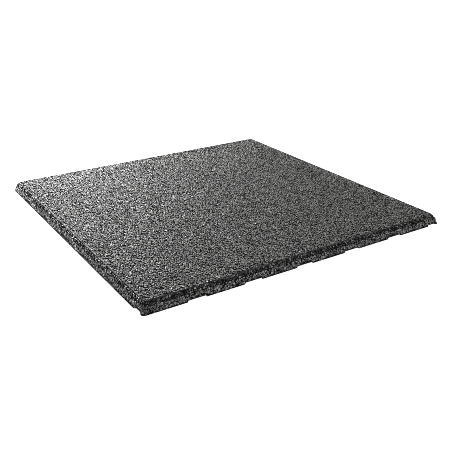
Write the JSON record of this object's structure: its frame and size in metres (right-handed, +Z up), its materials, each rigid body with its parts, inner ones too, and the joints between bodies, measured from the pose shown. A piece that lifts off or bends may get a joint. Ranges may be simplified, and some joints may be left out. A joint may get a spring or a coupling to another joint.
{
  "type": "rubber patio tile",
  "caption": "Square patio tile moulded from bonded rubber crumb, with sloping edge shoulders and crossing drainage channels under it.",
  "frame": {"origin": "middle of the underside, on the plane of the feet that lie on the ground", "axes": "+Z up through the walking face; +X and +Y along the sides; the two wide outer feet meet in the corner at -X +Y"},
  "size_m": [0.5, 0.5, 0.015],
  "materials": {
    "rubber_crumb": "matt black bonded crumb, rough, with a faint sheen at a low angle"
  },
  "bodies": {
    "root": {"rubber_tile": "rubber_crumb"}
  },
  "joints": []
}
